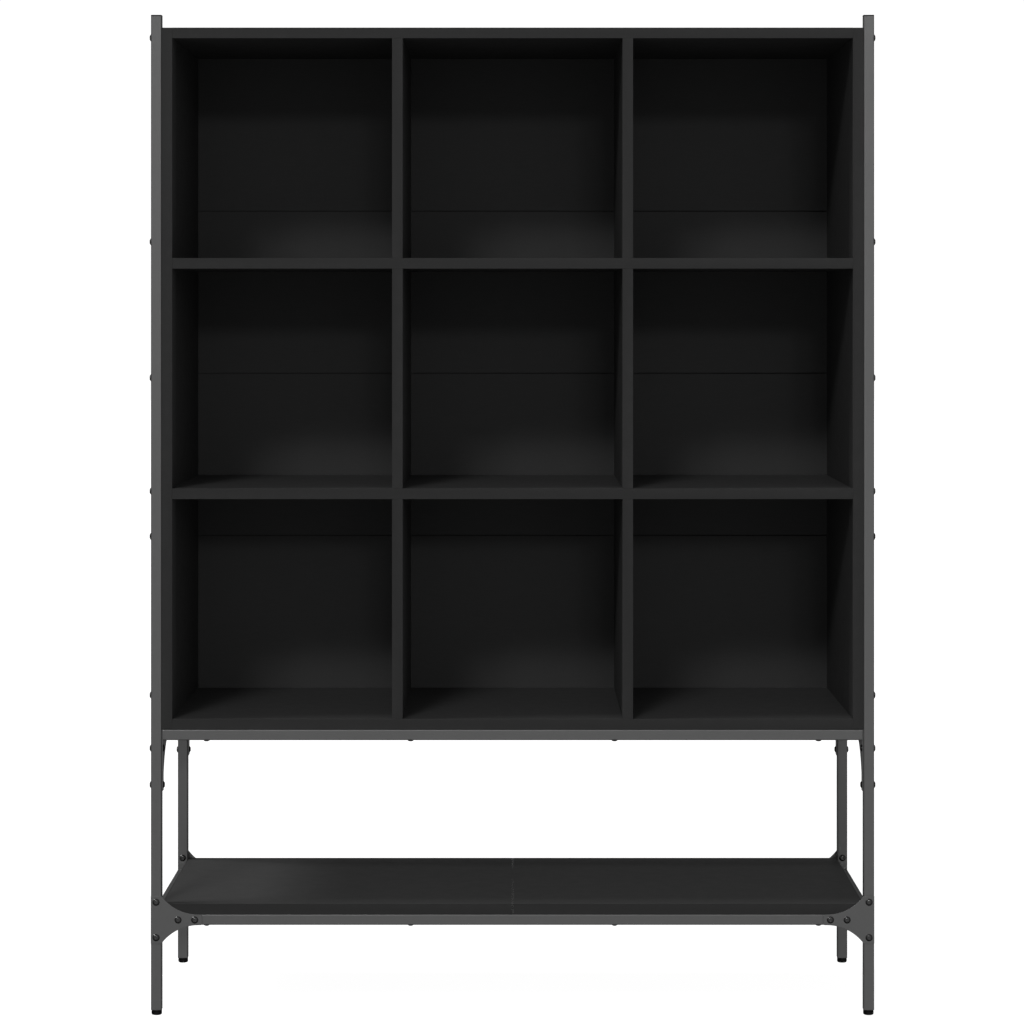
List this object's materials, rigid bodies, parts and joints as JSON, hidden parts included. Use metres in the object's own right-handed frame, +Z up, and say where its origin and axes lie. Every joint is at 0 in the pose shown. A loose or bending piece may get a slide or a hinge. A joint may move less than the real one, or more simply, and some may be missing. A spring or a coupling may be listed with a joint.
{
  "type": "bookcase",
  "caption": "Open bookcase: black board case with square compartments on a square steel tube frame, with a low shelf and levelling feet.",
  "frame": {"origin": "on the floor, under the middle of the bookcase's footprint", "axes": "+Z up, +X to the right as seen from the front, front towards -Y"},
  "size_m": [1.02, 0.3788, 1.411],
  "materials": {
    "steel_tube": "fine-textured dark grey powder coat on square steel tube",
    "steel_plate": "dark grey powder coat on 1.2 mm steel plate",
    "board": "black laminate on 15 mm engineered wood, satin",
    "back_board": "thin black-faced hardboard, matt",
    "black_plastic": "moulded black plastic, satin",
    "bolt": "black plated button-head bolts with a hexagon socket"
  },
  "bodies": {
    "bookcase": {"front_left_post": "steel_tube", "front_left_post_cap": "black_plastic", "front_left_foot_insert": "black_plastic", "front_left_post_bolt_lower": "bolt", "front_left_post_bolt_upper": "bolt", "front_right_post": "steel_tube", "front_right_post_cap": "black_plastic", "front_right_foot_insert": "black_plastic", "front_right_post_bolt_lower": "bolt", "front_right_post_bolt_upper": "bolt", "rear_left_post": "steel_tube", "rear_left_post_cap": "black_plastic", "rear_left_foot_insert": "black_plastic", "rear_left_post_bolt_lower": "bolt", "rear_left_post_bolt_upper": "bolt", "rear_right_post": "steel_tube", "rear_right_post_cap": "black_plastic", "rear_right_foot_insert": "black_plastic", "rear_right_post_bolt_lower": "bolt", "rear_right_post_bolt_upper": "bolt", "lower_front_rail": "steel_tube", "lower_rear_rail": "steel_tube", "lower_left_rail": "steel_tube", "lower_right_rail": "steel_tube", "upper_front_rail": "steel_tube", "upper_rear_rail": "steel_tube", "upper_left_rail": "steel_tube", "upper_right_rail": "steel_tube", "front_left_lower_gusset": "steel_plate", "front_left_upper_gusset": "steel_plate", "front_right_lower_gusset": "steel_plate", "front_right_upper_gusset": "steel_plate", "rear_left_lower_gusset": "steel_plate", "rear_left_upper_gusset": "steel_plate", "rear_right_lower_gusset": "steel_plate", "rear_right_upper_gusset": "steel_plate", "left_side_panel": "board", "right_side_panel": "board", "bottom_panel": "board", "lower_shelf": "board", "upper_shelf": "board", "top_panel": "board", "left_divider_bottom": "board", "right_divider_bottom": "board", "left_divider_middle": "board", "right_divider_middle": "board", "left_divider_top": "board", "right_divider_top": "board", "back_board_1": "back_board", "back_board_2": "back_board", "back_board_3": "back_board", "back_board_4": "back_board", "low_shelf_left": "board", "low_shelf_right": "board"},
    "front_left_foot": {"front_left_levelling_foot": "black_plastic"},
    "front_right_foot": {"front_right_levelling_foot": "black_plastic"},
    "rear_left_foot": {"rear_left_levelling_foot": "black_plastic"},
    "rear_right_foot": {"rear_right_levelling_foot": "black_plastic"}
  },
  "joints": [
    {"name": "front_left_foot_screw", "type": "slide", "parent": "bookcase", "child": "front_left_foot", "axis": [0, 0, -1], "range_m": [0, 0.012]},
    {"name": "front_right_foot_screw", "type": "slide", "parent": "bookcase", "child": "front_right_foot", "axis": [0, 0, -1], "range_m": [0, 0.012]},
    {"name": "rear_left_foot_screw", "type": "slide", "parent": "bookcase", "child": "rear_left_foot", "axis": [0, 0, -1], "range_m": [0, 0.012]},
    {"name": "rear_right_foot_screw", "type": "slide", "parent": "bookcase", "child": "rear_right_foot", "axis": [0, 0, -1], "range_m": [0, 0.012]}
  ]
}
